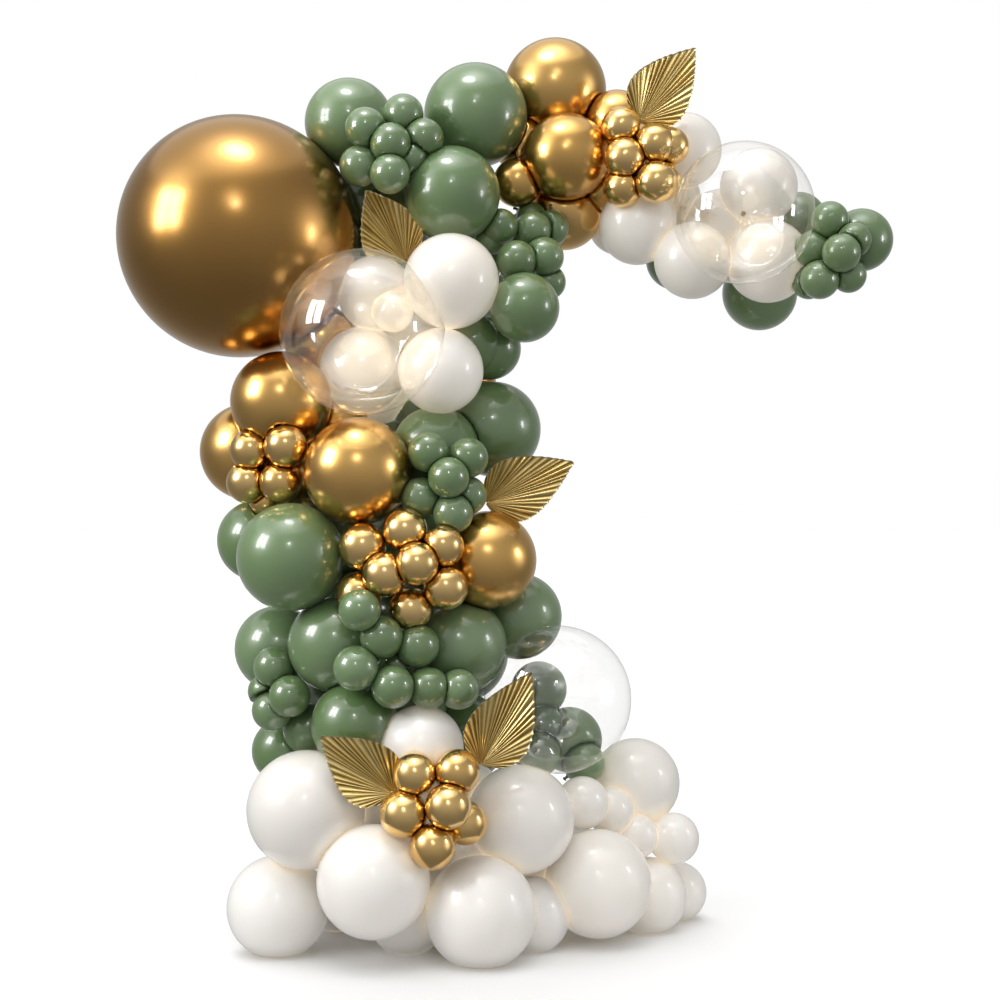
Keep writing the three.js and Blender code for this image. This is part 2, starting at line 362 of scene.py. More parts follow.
@dataclass(frozen=True)
class LatexFinish:
    """Balloon latex in one colour, with its gloss.

    The mirror gold is a metal under a clear gloss; the sage and the white are plain latex.
    Each takes painted shade in its creases, and the white also a painted glow.
    """

    name: str
    body: Colour
    pale: Colour
    # Painted shade for the creases, and the deeper colour towards the neck and knot.
    painted_shade_and_neck: Colour
    roughness: float
    gloss_roughness: float
    metallic: float = 0.0
    gloss: float = 1.0
    gloss_index: float = 1.5
    sheen: float = 0.0
    sheen_tint: Colour = (1.0, 1.0, 1.0)
    softness: float = 0.0
    # Painted glow: an emission colour that stands in for light through the skin.
    glow: Colour | None = None
    cloud: float = 0.25
    # How far the creases take the painted shade colour.
    painted_crease_shade: float = 0.6
    ripple: float = 0.02
    rim_tint: Colour = (1.0, 1.0, 1.0)

    def material(self, shared: SharedShading) -> bpy.types.Material:
        """Builds the material.

        Args:
            shared: The shared node groups.

        Returns:
            The material.
        """
        material, tree, shader = blank_material(self.name)
        tone = add_node(tree, "ShaderNodeGroup", node_tree=shared.tone)
        # The tone group paints shade into the creases.
        set_inputs(
            tone,
            {
                "Body": self.body,
                "Pale": self.pale,
                "Painted shade and neck": self.painted_shade_and_neck,
                "Cloud": self.cloud,
                "Painted crease shade": self.painted_crease_shade,
            },
        )
        skin, normal = add_skin(tree, shared, self.ripple, SKIN_REACH, Roughness=self.roughness)
        set_inputs(
            shader,
            {
                "Base Color": tone.outputs["Color"],
                "Roughness": skin.outputs["Roughness"],
                "Normal": normal,
                "Metallic": self.metallic,
                "Specular Tint": self.rim_tint,
                "Coat Weight": self.gloss,
                "Coat Roughness": self.gloss_roughness,
                "Coat IOR": self.gloss_index,
                "Sheen Weight": self.sheen,
                "Sheen Roughness": 0.35,
                "Sheen Tint": self.sheen_tint,
                "Subsurface Weight": self.softness,
                "Subsurface Scale": 0.012,
            },
        )
        # Painted light: the glow goes into the emission, so the balloon glows though it is no
        # lamp.
        if self.glow is not None:
            set_inputs(tone, {"Glow": self.glow})
            set_inputs(shader, {"Emission Color": tone.outputs["Glow"], "Emission Strength": 1.0})
        return material


@dataclass(frozen=True)
class FilmFinish:
    """Clear stretch film, see-through face on and mirror-like towards its rim."""

    name: str
    passing: Colour
    mirror: Colour
    face_share: float
    rim_power: float
    roughness: float
    ripple: float

    def material(self, shared: SharedShading) -> bpy.types.Material:
        """Builds the material: share of mirror = face + (1 − face) × facing to the power.

        Args:
            shared: The shared node groups.

        Returns:
            The material.
        """
        material = bpy.data.materials.new(self.name)
        material.use_nodes = True
        tree = material.node_tree
        tree.nodes.clear()
        scales = {"Broad_scale": 16.0, "Fine_scale": 60.0}
        _, normal = add_skin(tree, shared, self.ripple, SKIN_REACH, **scales)
        facing = add_node(tree, "ShaderNodeLayerWeight")
        set_inputs(facing, {"Blend": 0.5})
        edge = sums(tree, "POWER", facing.outputs["Facing"], self.rim_power)
        face = self.face_share
        share = sums(tree, "MULTIPLY_ADD", edge, 1.0 - face, face, clamp=True)
        through = add_node(tree, "ShaderNodeBsdfTransparent")
        set_inputs(through, {"Color": self.passing})
        mirror = add_node(tree, "ShaderNodeBsdfGlossy")
        set_inputs(mirror, {"Color": self.mirror, "Roughness": self.roughness, "Normal": normal})
        mixed = add_node(tree, "ShaderNodeMixShader")
        set_inputs(mixed, {0: share, 1: through.outputs[0], 2: mirror.outputs[0]})
        set_inputs(add_node(tree, "ShaderNodeOutputMaterial"), {"Surface": mixed.outputs[0]})
        return material


@dataclass(frozen=True)
class FoilFinish:
    """Gold foil paper, pleated."""

    name: str
    ridge: Colour
    # Painted shade for the pleats' valleys.
    painted_valley_shade: Colour
    edge: Colour
    metallic: float

    def material(self, shared: SharedShading) -> bpy.types.Material:
        """Builds the material.

        Args:
            shared: The shared node groups.

        Returns:
            The material.
        """
        material, tree, shader = blank_material(self.name)
        foil = add_node(tree, "ShaderNodeGroup", node_tree=shared.foil)
        set_inputs(foil, {"Ridge": self.ridge, "Painted valley shade": self.painted_valley_shade, "Edge": self.edge})
        _, normal = add_skin(tree, shared, 0.12, 0.002, Broad_scale=60.0)
        set_inputs(
            shader,
            {
                "Base Color": foil.outputs["Color"],
                "Roughness": foil.outputs["Roughness"],
                "Normal": normal,
                "Metallic": self.metallic,
            },
        )
        return material


@dataclass(frozen=True)
class Palette:
    """Every material of the garland, by finish, with the cream cord of the clear necks.

    The small balloons are blown tighter for their size, so their gloss is crisper. The small gold
    is also a paler copy of the gold, which is painted light, and the jumbo a darker one, which is
    painted shade.
    """

    by_finish: dict[Finish, bpy.types.Material]
    small: dict[Finish, bpy.types.Material]
    jumbo: bpy.types.Material
    neck_tie: bpy.types.Material

    @classmethod
    def build(cls) -> "Palette":
        """Builds the shared groups and then each material once."""
        shared = SharedShading.build()
        # The third colour of each latex is the painted shade of its creases and the deeper colour
        # of its neck.
        gold = LatexFinish(
            "gold_mirror_latex",
            body=(0.75, 0.425, 0.098),
            pale=(0.84, 0.535, 0.170),
            painted_shade_and_neck=(0.26, 0.140, 0.035),
            metallic=1.0,
            roughness=0.25,
            gloss_roughness=0.20,
            gloss_index=1.55,
            painted_crease_shade=0.95,
            rim_tint=(1.0, 0.90, 0.70),
        )
        # Painted shade: the jumbo takes a darker copy of the gold, for how the light falls on it.
        jumbo = replace(
            gold,
            name="gold_satin_latex_painted_shade",
            body=(0.430, 0.216, 0.036),
            pale=(0.52, 0.275, 0.060),
            painted_shade_and_neck=(0.30, 0.150, 0.035),
            roughness=0.26,
            gloss_index=1.50,
            painted_crease_shade=0.5,
        )
        sage = LatexFinish(
            "sage_latex",
            body=(0.112, 0.192, 0.067),
            pale=(0.170, 0.262, 0.122),
            painted_shade_and_neck=(0.030, 0.060, 0.020),
            roughness=0.34,
            gloss_roughness=0.13,
            gloss_index=1.62,
            sheen=0.10,
            sheen_tint=(0.85, 0.95, 0.72),
            softness=0.04,
        )
        white = LatexFinish(
            "pearl_white_latex",
            body=(0.835, 0.80, 0.75),
            pale=(0.86, 0.845, 0.825),
            painted_shade_and_neck=(0.86, 0.745, 0.58),
            roughness=0.36,
            gloss=0.75,
            gloss_roughness=0.13,
            sheen=0.06,
            softness=0.10,
            # The white's painted glow.
            glow=(0.140, 0.120, 0.088),
            painted_crease_shade=0.5,
        )
        clear = FilmFinish(
            "clear_film",
            passing=(0.988, 0.985, 0.98),
            mirror=(1.0, 1.0, 1.0),
            face_share=0.10,
            rim_power=6.0,
            roughness=0.02,
            ripple=0.03,
        )
        leaf = FoilFinish(
            "gold_foil_paper",
            ridge=(1.0, 0.79, 0.35),
            # The valleys' painted shade.
            painted_valley_shade=(0.27, 0.16, 0.030),
            edge=(1.0, 0.87, 0.54),
            metallic=1.0,
        )
        tie = LatexFinish(
            "cream_tie",
            body=(0.70, 0.52, 0.30),
            pale=(0.80, 0.64, 0.42),
            painted_shade_and_neck=(0.45, 0.28, 0.10),
            roughness=0.45,
            gloss=0.2,
            gloss_roughness=0.2,
        )
        made = {
            Finish.GOLD: gold.material(shared),
            Finish.SAGE: sage.material(shared),
            Finish.WHITE: white.material(shared),
            Finish.CLEAR: clear.material(shared),
            Finish.LEAF: leaf.material(shared),
        }
        small = {
            # Painted light: the small gold balloons take a paler copy of the gold.
            Finish.GOLD: replace(
                gold,
                name="gold_mirror_latex_small_painted_light",
                body=(0.84, 0.53, 0.17),
                pale=(0.90, 0.63, 0.25),
                painted_shade_and_neck=(0.34, 0.20, 0.06),
                roughness=0.20,
            ),
            Finish.SAGE: replace(
                sage, name="sage_latex_small", gloss_roughness=0.03, gloss_index=1.75
            ),
        }
        crisp = {finish: values.material(shared) for finish, values in small.items()}
        return cls(made, crisp, jumbo.material(shared), tie.material(shared))


# ---------------------------------------------------------------- meshes


@dataclass
class Sheet:
    """Part of a mesh: its points, its faces and one value per point for each attribute."""

    points: np.ndarray
    quads: np.ndarray
    triangles: np.ndarray
    values: dict[str, np.ndarray]
    material: int = 0


def joined(sheets: list[Sheet]) -> Sheet:
    """Puts several sheets into one, with their face numbers shifted past each other.

    Args:
        sheets: The sheets, all with the same attributes.

    Returns:
        One sheet holding them all.
    """
    starts = np.cumsum([0] + [len(sheet.points) for sheet in sheets[:-1]])
    return Sheet(
        np.concatenate([sheet.points for sheet in sheets]),
        np.concatenate([sheet.quads + start for sheet, start in zip(sheets, starts)]),
        np.concatenate([sheet.triangles + start for sheet, start in zip(sheets, starts)]),
        {
            name: np.concatenate([sheet.values[name] for sheet in sheets])
            for name in sheets[0].values
        },
    )


def make_piece(
    name: str, sheets: list[Sheet], materials: list[bpy.types.Material]
) -> bpy.types.Object:
    """Makes a smooth-shaded object whose place is in its mesh.

    Args:
        name: The object's name.
        sheets: The sheets that make it up.
        materials: Its material slots, which the sheets' numbers choose from.

    Returns:
        The object, linked to the scene.
    """
    whole = joined(sheets)
    mesh = bpy.data.meshes.new(name)
    mesh.vertices.add(len(whole.points))
    mesh.vertices.foreach_set("co", whole.points.astype(np.float32).ravel())
    corners = np.concatenate([whole.quads.ravel(), whole.triangles.ravel()])
    counts = np.concatenate([np.full(len(whole.quads), 4), np.full(len(whole.triangles), 3)])
    mesh.loops.add(len(corners))
    mesh.loops.foreach_set("vertex_index", corners.astype(np.int32))
    mesh.polygons.add(len(counts))
    mesh.polygons.foreach_set("loop_start", (np.cumsum(counts) - counts).astype(np.int32))
    mesh.polygons.foreach_set("use_smooth", np.ones(len(counts), bool))
    chosen = np.concatenate(
        [np.full(len(sheet.quads), sheet.material) for sheet in sheets]
        + [np.full(len(sheet.triangles), sheet.material) for sheet in sheets]
    )
    for material in materials:
        mesh.materials.append(material)
    mesh.polygons.foreach_set("material_index", chosen.astype(np.int32))
    for label, values in whole.values.items():
        kind = "FLOAT" if values.ndim == 1 else "FLOAT_VECTOR"
        attribute = mesh.attributes.new(label, kind, "POINT")
        key = "value" if values.ndim == 1 else "vector"
        attribute.data.foreach_set(key, values.astype(np.float32).ravel())
    mesh.update(calc_edges=True)
    mesh.validate()
    piece = bpy.data.objects.new(name, mesh)
    bpy.context.scene.collection.objects.link(piece)
    return piece


def tie_to_frame(piece: bpy.types.Object, node: str) -> bpy.types.Object:
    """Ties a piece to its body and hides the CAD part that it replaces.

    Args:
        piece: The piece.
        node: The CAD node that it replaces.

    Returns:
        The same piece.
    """
    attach(piece, BODY)
    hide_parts(node)
    LOG.info("%s: %d faces", piece.name, len(piece.data.polygons))
    return piece


def ring_faces(rings: int, around: int) -> np.ndarray:
    """Faces between rings of points that close on themselves.

    Face (i, j) joins points j and j + 1 of ring i to those of ring i + 1.

    Args:
        rings: How many rings there are.
        around: Points in each ring.

    Returns:
        Four point numbers per face, facing away from the rings' own axis.
    """
    first = np.arange(rings - 1)[:, None] * around
    here = np.arange(around)[None, :]
    after = (here + 1) % around
    return np.stack(
        [first + here, first + around + here, first + around + after, first + after], -1
    ).reshape(-1, 4)


def cap_faces(pole: int, ring_start: int, around: int, opens: bool) -> np.ndarray:
    """Triangles that close a ring with one point.

    Args:
        pole: The closing point's number.
        ring_start: The number of the ring's first point.
        around: Points in the ring.
        opens: True at the start of the rings, False at their end.

    Returns:
        Three point numbers per triangle.
    """
    here = ring_start + np.arange(around)
    after = ring_start + (np.arange(around) + 1) % around
    tips = np.full(around, pole)
    return np.stack([tips, here, after] if opens else [tips, after, here], -1)


def both_caps(count: int, around: int, opens: bool) -> np.ndarray:
    """Triangles that close both ends of the rings, with points count and count + 1.

    Args:
        count: Points in all the rings.
        around: Points in each ring.
        opens: True where the first ring's triangles face as cap_faces(opens=True) does.

    Returns:
        Three point numbers per triangle.
    """
    start = cap_faces(count, 0, around, opens)
    return np.vstack([start, cap_faces(count + 1, count - around, around, not opens)])


def ring_round(axis: np.ndarray, around: int) -> tuple[np.ndarray, np.ndarray]:
    """A circle of directions square to an axis.

    Args:
        axis: A unit direction.
        around: How many directions.

    Returns:
        Each direction's angle, and the unit directions.
    """
    helper = np.array([0.0, 0.0, 1.0]) if abs(axis[2]) < 0.9 else np.array([1.0, 0.0, 0.0])
    side = np.cross(helper, axis)
    side /= np.linalg.norm(side)
    turn = np.linspace(0, 2 * math.pi, around, endpoint=False)
    other = np.cross(axis, side)
    return turn, np.cos(turn)[:, None] * side + np.sin(turn)[:, None] * other


def spread_directions(count: int) -> np.ndarray:
    """Directions spread evenly over a sphere: even steps of height, turned by the golden angle."""
    step = np.arange(count) + 0.5
    height = 1 - 2 * step / count
    turn = step * math.pi * (3 - math.sqrt(5))
    flat = np.sqrt(1 - height**2)
    return np.stack([flat * np.cos(turn), flat * np.sin(turn), height], -1)


# ---------------------------------------------------------------- the balloons


@dataclass
class Group:
    """Balloons of one finish tied together, which stand for one CAD node."""

    node: str
    finish: Finish
    rows: tuple[Row, ...]
    tucked: tuple[Row, ...] = ()
    neck: tuple[float, float, float] | None = None
    tone: float | None = None
    # Painted glow: how much this group's white balloons glow beyond their creases.
    lift: float = 0.0

    def all_rows(self) -> tuple[Row, ...]:
        """The balloons of the CAD node and the ones tucked in behind them."""
        return self.rows + self.tucked

    def grade(self, width: float) -> Grade:
        """How finely a balloon of that width is meshed."""
        if self.finish is Finish.CLEAR:
            return Grade.CLEAR
        if width > JUMBO_ABOVE:
            return Grade.JUMBO
        return Grade.ROUND if width >= SMALL_BELOW else Grade.SMALL


@dataclass
class Crowd:
    """Every balloon of the garland at once, to work out which press on which."""

    centres: np.ndarray
    radii: np.ndarray
    ranks: np.ndarray
    heartline: np.ndarray

    @classmethod
    def gather(cls, groups: list[Group]) -> "Crowd":
        """Collects the balloons of all groups, in order.

        Args:
            groups: The groups.

        Returns:
            The crowd, in metres.
        """
        table = np.array([row for group in groups for row in group.all_rows()]) * MM
        yielding = [group.finish is Finish.CLEAR for group in groups for _ in group.all_rows()]
        ranks = table[:, 1] + 10.0 * np.array(yielding)
        heart = np.array(
            [
                [-60, 20, 0], [-90, 30, 300], [-150, 80, 600], [-230, 90, 1000], [-250, 90, 1400],
                [-190, 90, 1800], [-60, 110, 2080], [200, 140, 2110], [500, 150, 1930],
                [860, 60, 1800],
            ]
        )
        return cls(table[:, :3], table[:, 3] / 2, ranks, heart * MM)

    def dents(self, index: int) -> tuple[np.ndarray, np.ndarray]:
        """The neighbours that push a round hollow into a balloon.

        Of two balloons that press together the one further forward stays round and the other
        takes its shape, and the thin clear film takes the shape of whatever it meets.

        Args:
            index: The balloon's number in the crowd.

        Returns:
            The way from the balloon's centre to each such neighbour's, and their radii with
            the gap between touching skins.
        """
        away = self.centres - self.centres[index]
        apart = np.linalg.norm(away, axis=1)
        grown = self.radii + FACING_GAP * MM
        near = (apart > grown * 1.03) & (apart < grown + self.radii[index])
        near &= self.ranks < self.ranks[index]
        return away[near], grown[near]

    def contacts(self, index: int) -> tuple[np.ndarray, np.ndarray]:
        """The flat faces that a balloon is pressed to.

        Two balloons of radii a and b whose centres are d apart meet in the plane at
        (d² + a² − b²) / 2d from the first, and the floor is one more plane.

        Args:
            index: The balloon's number in the crowd.

        Returns:
            The planes' outward directions and their distances from the balloon's centre.
        """
        away = self.centres - self.centres[index]
        apart = np.linalg.norm(away, axis=1)
        near = (apart > 1e-6) & (apart < self.radii + self.radii[index])
        d = apart[near]
        distance = (d**2 + self.radii[index] ** 2 - self.radii[near] ** 2) / (2 * d)
        directions = away[near] / d[:, None]
        directions = np.vstack([directions, [[0.0, 0.0, -1.0]]])
        distance = np.append(distance - FACING_GAP * MM / 2, self.centres[index][2])
        return directions, np.maximum(distance, self.radii[index] * 0.12)

    def neck_way(self, index: int, heart: np.ndarray | None) -> np.ndarray:
        """The way that a balloon's neck points: into the freest gap on its inner side.

        Args:
            index: The balloon's number in the crowd.
            heart: The point it is tied at, or None for the nearest on the heartline.

        Returns:
            A unit direction.
        """
        centre, radius = self.centres[index], self.radii[index]
        if heart is None:
            start, end = self.heartline[:-1], self.heartline[1:]
            run = end - start
            along = ((centre - start) * run).sum(1) / (run**2).sum(1)
            feet = start + run * np.clip(along, 0, 1)[:, None]
            heart = feet[np.argmin(np.linalg.norm(feet - centre, axis=1))]
        inward = heart - centre
        inward = inward / max(float(np.linalg.norm(inward)), 1e-6)
        ways = spread_directions(NECK_WAYS)
        directions, distance = self.contacts(index)
        facing = ways @ directions.T
        reach = np.where(facing > 0.05, distance / np.maximum(facing, 0.05), 9.0).min(1)
        room = np.minimum(reach / radius, 1.3)
        score = room + 0.5 * ways @ inward + 0.25 * ways[:, 1] - 0.1 * ways[:, 2]
        if centre[1] < 0.15:
            score -= 3.0 * np.maximum(0.35 - ways[:, 1], 0)
        return ways[np.argmax(score)]


@dataclass
class Balloon:
    """One balloon: a sphere pressed flat by its neighbours and drawn out to a tied neck."""

    centre: np.ndarray
    radius: float
    grade: Grade
    neck: np.ndarray
    directions: np.ndarray
    distances: np.ndarray
    dent_ways: np.ndarray
    dent_radii: np.ndarray
    tone: float
    # Painted glow, as in Group.
    lift: float
    neck_material: int = 0

    def press(self, ways: np.ndarray) -> tuple[np.ndarray, np.ndarray]:
        """How far the skin is from the centre in each direction, and how creased it is.

        The skin is the soft minimum of the sphere, the floor and every dent:
        −k ln(e^(−R/k) + Σ e^(−t/k)). A dent by a ball of radius r at a lies at
        t = w·a − √((w·a)² − |a|² + r²) along the way w.

        Args:
            ways: Unit directions, one per row.

        Returns:
            The distances, and how creased the skin is, from 0 on open skin to 1 in a contact; this
            mask of the creases carries the painted shade and glow.
        """
        facing = ways @ self.directions.T
        reach = np.where(facing > 0.02, self.distances / np.maximum(facing, 0.02), FAR)
        toward = ways @ self.dent_ways.T
        spare = toward**2 - (self.dent_ways**2).sum(1) + self.dent_radii**2
        struck = (toward > 0) & (spare > 0)
        hollow = np.where(struck, toward - np.sqrt(np.maximum(spare, 0)), FAR)
        limits = np.hstack([np.maximum(hollow, self.radius * 0.15), reach[:, -1:]])
        soft = self.radius * (0.012 if self.grade is not Grade.SMALL else 0.02)
        parts = np.exp(np.clip((self.radius - limits) / soft, -60, 300))
        skin = self.radius - soft * np.log1p(parts.sum(1))
        over = np.exp(np.clip((self.radius - reach) / (self.radius * 0.06), -30, 30)).sum(1)
        return np.minimum(skin, self.radius), over / (1 + over)

    def body(self) -> Sheet:
        """The blown body with its neck.

        Ring angle = π (1 − (1 − s)^1.25), so that the rings close up towards the neck,
        and the neck rises over the sphere by rise × e^(−(angle from the neck / width)^1.2).

        Returns:
            The body as a closed sheet.
        """
        rings, around = self.grade.value
        s = np.arange(1, rings) / rings
        tilt = math.pi * (1 - (1 - s) ** 1.25)
        turn, ring = ring_round(-self.neck, around)
        ways = np.sin(tilt)[:, None, None] * ring + np.cos(tilt)[:, None, None] * -self.neck
        ways = np.vstack([ways.reshape(-1, 3), -self.neck, self.neck])
        skin, painted_crease_mask = self.press(ways)
        from_neck = np.arccos(np.clip(ways @ self.neck, -1, 1))
        spread = 0.10 + 0.005 / self.radius
        rise = 0.012 + 0.05 * self.radius
        flare = np.exp(-((from_neck / spread) ** 1.2))
        folds = np.cos(np.append(np.tile(turn, rings - 1), [0, 0]) * 14)
        fading = np.exp(-((from_neck / (spread * 1.6)) ** 2)) * (from_neck > 0.02)
        pucker = 1 + 0.05 * folds * fading
        skin = (skin + rise * flare) * (1 - 0.16 * (pucker - 1))
        count = (rings - 1) * around
        # The mask of the creases and the lift carry the latex's painted shade and glow.
        values = {
            "tone": np.full(count + 2, self.tone),
            "lift": np.full(count + 2, self.lift),
            "painted_crease_mask": painted_crease_mask,
            "neck": np.exp(-((from_neck / (spread * 2.2)) ** 2)),
        }
        points = self.centre + ways * skin[:, None]
        caps = both_caps(count, around, True)
        return Sheet(points, ring_faces(rings - 1, around), caps, values)

    def knot(self) -> Sheet:
        """The knot and rolled lip at the end of the neck.

        A profile of (radius, height) pairs is carried once round the neck's axis.

        Returns:
            The knot as a closed sheet.
        """
        size = 0.55 + 2.6 * self.radius
        profile = np.array(
            [
                [3.2, -3.0], [5.6, -0.5], [6.4, 2.5], [5.2, 5.5], [2.8, 7.0], [4.4, 9.5],
                [7.2, 12.0], [8.6, 13.2], [8.8, 14.2], [7.6, 14.6], [4.0, 12.4],
            ]
        ) * (MM * size)
        around = KNOT_AROUND
        turn, ring = ring_round(self.neck, around)
        skin, _ = self.press(self.neck[None])
        tip = self.centre + self.neck * (skin[0] + 0.010 + 0.05 * self.radius)
        wave = 1 + 0.10 * np.cos(turn * 3)[None, :] * (profile[:, 1:2] > 0.009 * size)
        spun = profile[:, 0:1, None] * wave[:, :, None] * ring[None]
        points = tip + spun + profile[:, 1, None, None] * self.neck
        count = len(profile) * around
        ends = tip + self.neck * profile[[0, -1], 1:2]
        points = np.vstack([points.reshape(-1, 3), ends])
        faces = ring_faces(len(profile), around)[:, ::-1]
        full = np.ones(count + 2)
        values = {"tone": full * self.tone, "lift": full * 0, "painted_crease_mask": full * 0, "neck": full}
        return Sheet(points, faces, both_caps(count, around, False), values, self.neck_material)


@dataclass
class Stretch:
    """A length of the garland, made of groups of balloons."""

    groups: tuple[Group, ...] = ()

    def build(self, crowd: Crowd, first: int, palette: Palette, tones: np.ndarray) -> int:
        """Builds and dresses every group of the stretch.

        Args:
            crowd: All the balloons.
            first: The number in the crowd of this stretch's first balloon.
            palette: The materials.
            tones: A tone for each balloon of the crowd, 0 for the body colour, 1 for the pale.

        Returns:
            The number in the crowd that follows this stretch's last balloon.
        """
        for group in self.groups:
            self.build_group(group, crowd, first, palette, tones)
            first += len(group.all_rows())
        return first

    def build_group(
        self, group: Group, crowd: Crowd, first: int, palette: Palette, tones: np.ndarray
    ) -> bpy.types.Object:
        """Builds one group as a single piece, ties it to its body and hides its CAD part.

        Args:
            group: The group.
            crowd: All the balloons.
            first: The number in the crowd of the group's first balloon.
            palette: The materials.
            tones: A tone for each balloon of the crowd.

        Returns:
            The piece.
        """
        numbers = range(first, first + len(group.all_rows()))
        small = all(row[3] < SMALL_BELOW for row in group.all_rows())
        heart = crowd.centres[list(numbers)].mean(0) + np.array([0, 0.05, 0]) if small else None
        sheets = []
        for number, row in zip(numbers, group.all_rows()):
            neck = crowd.neck_way(number, heart)
            if group.neck is not None:
                neck = np.array(group.neck) / np.linalg.norm(group.neck)
            balloon = Balloon(
                crowd.centres[number],
                float(crowd.radii[number]),
                group.grade(row[3]),
                neck,
                *crowd.contacts(number),
                *crowd.dents(number),
                float(tones[number]) if group.tone is None else group.tone,
                group.lift,
                1 if group.finish is Finish.CLEAR else 0,
            )
            sheets += [balloon.body(), balloon.knot()]
        skin = palette.by_finish[group.finish]
        if small:
            skin = palette.small.get(group.finish, skin)
        if group.grade(group.rows[0][3]) is Grade.JUMBO:
            skin = palette.jumbo
        materials = [skin, palette.neck_tie] if group.finish is Finish.CLEAR else [skin]
        piece = make_piece(f"{group.node}_balloons", sheets, materials)
        return tie_to_frame(piece, group.node)


def tied(finish: Finish, node: str, *rows: Row, **more: object) -> Group:
    """A group of balloons of one finish, tied together."""
    return Group(node, finish, rows, **more)


gold, sage = partial(tied, Finish.GOLD), partial(tied, Finish.SAGE)
white, clear = partial(tied, Finish.WHITE), partial(tied, Finish.CLEAR)


@dataclass
class Crest(Stretch):
    """The top of the column, where the garland turns over: the jumbo and its neighbours."""

    groups: tuple[Group, ...] = (
        gold("gold_jumbo", (-700, 40, 1830, 630)),
        gold("gold_top_pair", (135, 230, 2260, 280), (300, 175, 2162, 170)),
        gold(
            "gold_upper_group",
            (160, 90, 2050, 230), (31, 100, 1984, 130), (160, 205, 1924, 208),
            (42, 200, 2106, 150), (259, 170, 1985, 130),
        ),
        sage("sage_top_left", (-415, 90, 2140, 235)),
        sage("sage_top", (-80, 110, 2165, 275)),
        sage("sage_upper", (-140, 0, 1935, 250)),
        sage(
            "sage_cluster_top",
            (-360, -60, 2095, 106), (-265, -30, 2136, 106), (-295, -75, 2052, 106),
            (-212, -42, 2072, 104), (-375, -45, 2000, 108), (-295, -95, 1970, 102),
            tucked=((-245, -45, 2020, 92),),
        ),
        sage(
            "sage_back_upper",
            (-245, 170, 1990, 240), (-315, 200, 1800, 250), (-90, 215, 1745, 250),
            (-385, 190, 1950, 200),
        ),
    )


@dataclass
class Arm(Stretch):
    """The short arm that reaches out to the right."""

    groups: tuple[Group, ...] = (
        gold(
            "gold_cluster_arm",
            (303, 35, 2118, 105), (310, 5, 2030, 108), (389, 10, 2068, 108), (430, 25, 2065, 100),
            (306, 25, 1957, 104), (390, -10, 1965, 110),
            tucked=((408, 15, 1972, 102),),
        ),
        # The lift of these white balloons is painted glow.
        white("arm_white_top", (480, 150, 2080, 200), lift=0.6),
        white(
            "arm_white_group",
            (352, 125, 1872, 206), (310, 245, 1895, 165), (495, 85, 1775, 204),
            (585, 205, 1885, 200), (445, 245, 1965, 180),
            lift=0.6,
        ),
        white("arm_white_pair", (697, 100, 1775, 222), (675, 115, 1975, 206), lift=0.9),
        sage("arm_sage_behind", (465, 215, 1795, 165)),
        sage("arm_sage_under", (700, 265, 1710, 205)),
        sage("arm_sage_side", (795, 195, 1900, 150)),
        clear("arm_clear", (600, -130, 1865, 358), neck=(0.14, 1.0, 0.16)),
        sage(
            "sage_cluster_arm_end",
            (937, 60, 1825, 165), (843, 0, 1868, 98), (862, -55, 1775, 100), (815, -10, 1712, 102),
            (893, 5, 1725, 92), (803, 20, 1795, 98),
            tucked=((900, -30, 1812, 90), (796, 45, 1712, 90)),
        ),
    )


@dataclass
class UpperColumn(Stretch):
    """The upper half of the column, round the large clear balloon."""

    groups: tuple[Group, ...] = (
        # The lift of these white balloons is painted glow.
        white("white_upper", (-140, -70, 1700, 245), tone=0.1, lift=1.1),
        white("white_middle", (-167, -60, 1472, 220), tone=0.9, lift=1.2),
        white(
            "white_behind_clear",
            (-340, 30, 1680, 200), (-290, -40, 1625, 106), (-375, 40, 1482, 226),
            (-345, 140, 1450, 215), (-235, 260, 1560, 270),
            lift=1.6,
        ),
        clear("main_clear", (-355, -225, 1555, 410), neck=(-0.08, 1.0, 0.10)),
        sage("sage_middle", (48, -50, 1635, 180)),
        sage("sage_middle_pair", (-82, 40, 1550, 150), (-42, 75, 1540, 165)),
        sage(
            "sage_cluster_middle",
            (-15, 35, 1856, 96), (72, 60, 1851, 100), (120, 85, 1860, 96), (28, -10, 1762, 104),
            (100, 20, 1775, 104), (60, 165, 1850, 140),
            tucked=((68, 120, 1895, 82), (112, 45, 1712, 92), (-40, 55, 1825, 84)),
        ),
        gold("gold_back", (-120, 180, 1450, 190)),
        sage("sage_right_pair", (-33, 90, 1328, 252), (-182, -10, 1270, 228)),
        sage(
            "sage_cluster_right",
            (-195, -160, 1260, 102), (-95, -145, 1246, 102), (-143, -190, 1196, 103),
            (-214, -145, 1145, 104), (-97, -130, 1152, 98), (-133, -165, 1106, 102),
        ),
    )


